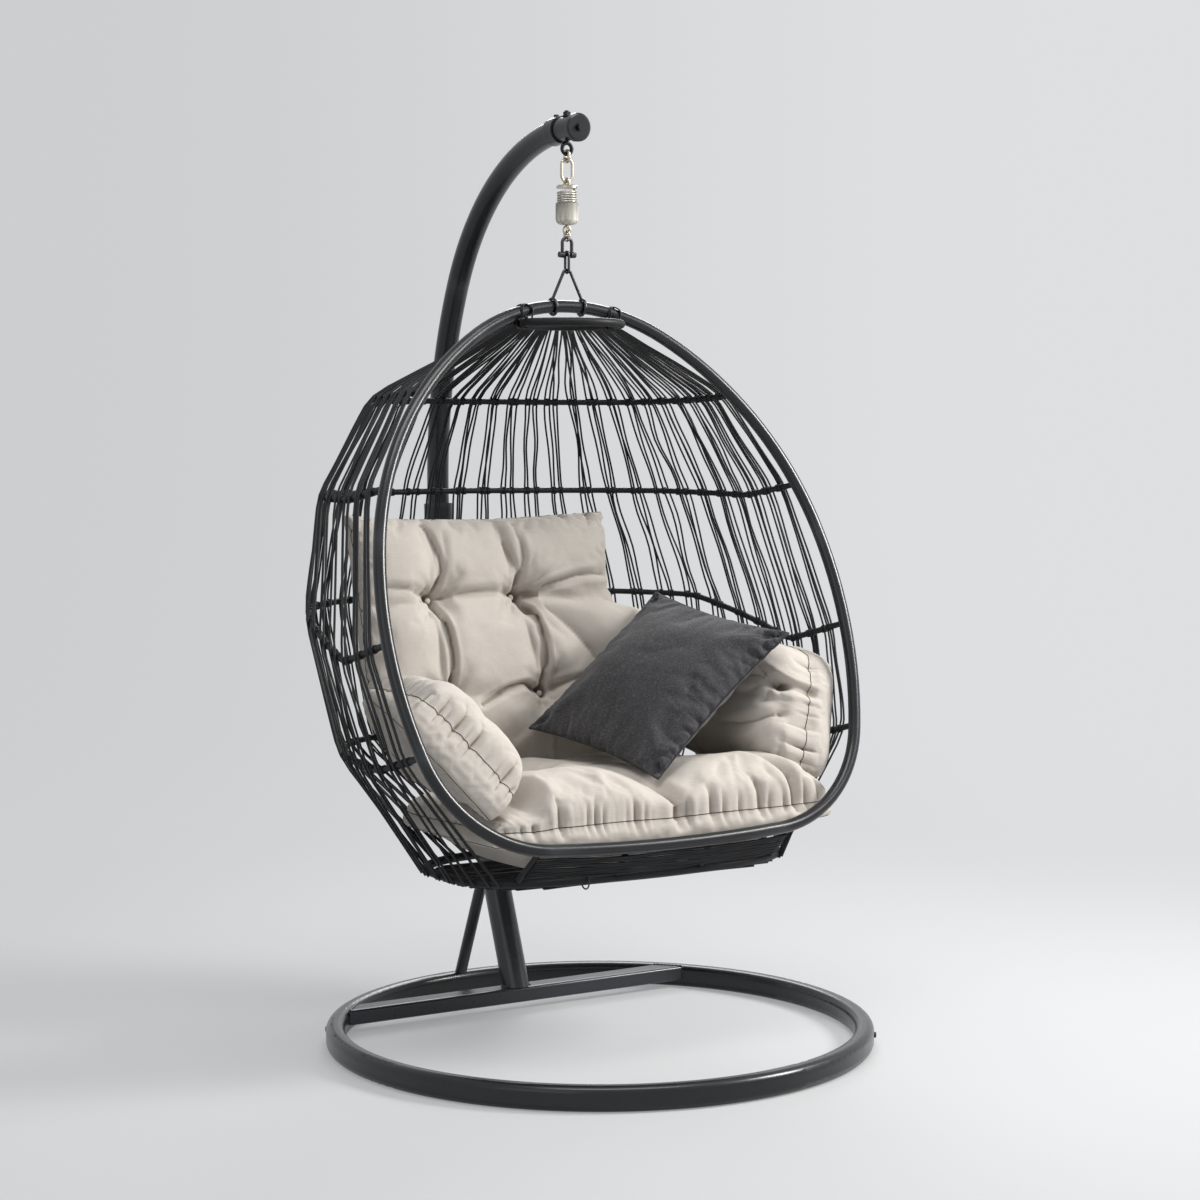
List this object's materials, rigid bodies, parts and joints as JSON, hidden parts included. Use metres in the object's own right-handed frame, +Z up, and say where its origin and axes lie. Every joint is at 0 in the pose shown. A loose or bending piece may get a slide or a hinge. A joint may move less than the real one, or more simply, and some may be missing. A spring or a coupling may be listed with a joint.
{
  "type": "hanging egg chair",
  "caption": "Hanging egg chair: round base, curved arm, chain with sleeved spring, strung wicker basket with tufted cushions and a loose pillow.",
  "frame": {"origin": "centre of the base ring on the floor", "axes": "+Z up along the height, the chair faces -Y, +X to the right seen from the front"},
  "size_m": [1.1, 1.2615, 1.8714],
  "materials": {
    "black_steel": "satin",
    "black_bolts": "satin",
    "collar": "matte",
    "bright_link": "satin",
    "spring_wire": "satin",
    "cream_sleeve": "satin",
    "dark_link": "satin",
    "wrapped_rod": "satin",
    "wicker": "satin",
    "beige_fabric": "matte",
    "grey_fabric": "matte"
  },
  "bodies": {
    "stand": {"base_ring_front": "black_steel", "base_ring_rear": "black_steel", "ring_spigots": "black_steel", "ring_bolts": "black_bolts", "crossbar": "black_steel", "lower_post": "black_steel", "post_brace": "black_steel", "post_collar": "collar", "arm_bolt": "black_bolts", "upper_arm": "black_steel", "arm_band": "black_steel", "arm_band_bolt": "black_bolts", "arm_end_cap": "black_steel", "end_cap_bolt": "black_bolts", "hanger_eye": "black_bolts", "hanger_nut": "black_bolts"},
    "upper_link": {"top_link": "bright_link"},
    "hanger": {"ring_link": "bright_link", "spring_top_cap": "bright_link", "coil_spring": "spring_wire"},
    "spring_lower": {"spring_sleeve": "cream_sleeve"},
    "swivel": {"swivel_eye": "bright_link", "small_ring": "bright_link", "shackle": "dark_link", "shackle_pin": "dark_link", "chain_link": "dark_link"},
    "basket": {"bail": "dark_link", "hoop": "black_steel", "rod_1": "wrapped_rod", "rod_2": "wrapped_rod", "rod_3": "wrapped_rod", "rod_4": "wrapped_rod", "top_ring": "wrapped_rod", "top_ring_ties": "wicker", "bottom_ring": "wrapped_rod", "bottom_stubs": "wrapped_rod", "strands_left": "wicker", "strands_back": "wicker", "strands_right": "wicker", "strands_floor": "wicker", "hanging_loop": "dark_link", "back_cushion": "beige_fabric", "seat_cushion": "beige_fabric", "bolster_left": "beige_fabric", "bolster_right": "beige_fabric", "tuft_buttons": "beige_fabric"},
    "pillow": {"throw_pillow": "grey_fabric"}
  },
  "joints": [
    {"name": "swing_fore_aft", "type": "hinge", "parent": "stand", "child": "upper_link", "pos_m": [0, 0.12606, 1.78448], "axis": [1, 0, 0], "range_deg": [-10, 1.5]},
    {"name": "swing_sideways", "type": "hinge", "parent": "upper_link", "child": "hanger", "pos_m": [0, 0.12606, 1.76898], "axis": [0, 1, 0], "range_deg": [-5, 5]},
    {"name": "spring_bounce", "type": "slide", "parent": "hanger", "child": "spring_lower", "axis": [0, 0, -1], "range_m": [0, 0.03], "stiffness_N_per_m": 12000, "springref_m": -0.03, "deforming": ["coil_spring"]},
    {"name": "basket_turn", "type": "hinge", "parent": "spring_lower", "child": "swivel", "pos_m": [0, 0.12606, 1.63198], "axis": [0, 0, 1], "range_deg": [-12, 12]},
    {"name": "basket_pitch", "type": "hinge", "parent": "swivel", "child": "basket", "pos_m": [0, 0.12606, 1.55298], "axis": [1, 0, 0], "range_deg": [-3, 0.5]},
    {"name": "pillow_lift", "type": "slide", "parent": "basket", "child": "pillow", "axis": [-0.3015, -0.7537, 0.584], "range_m": [0, 0.25]}
  ]
}
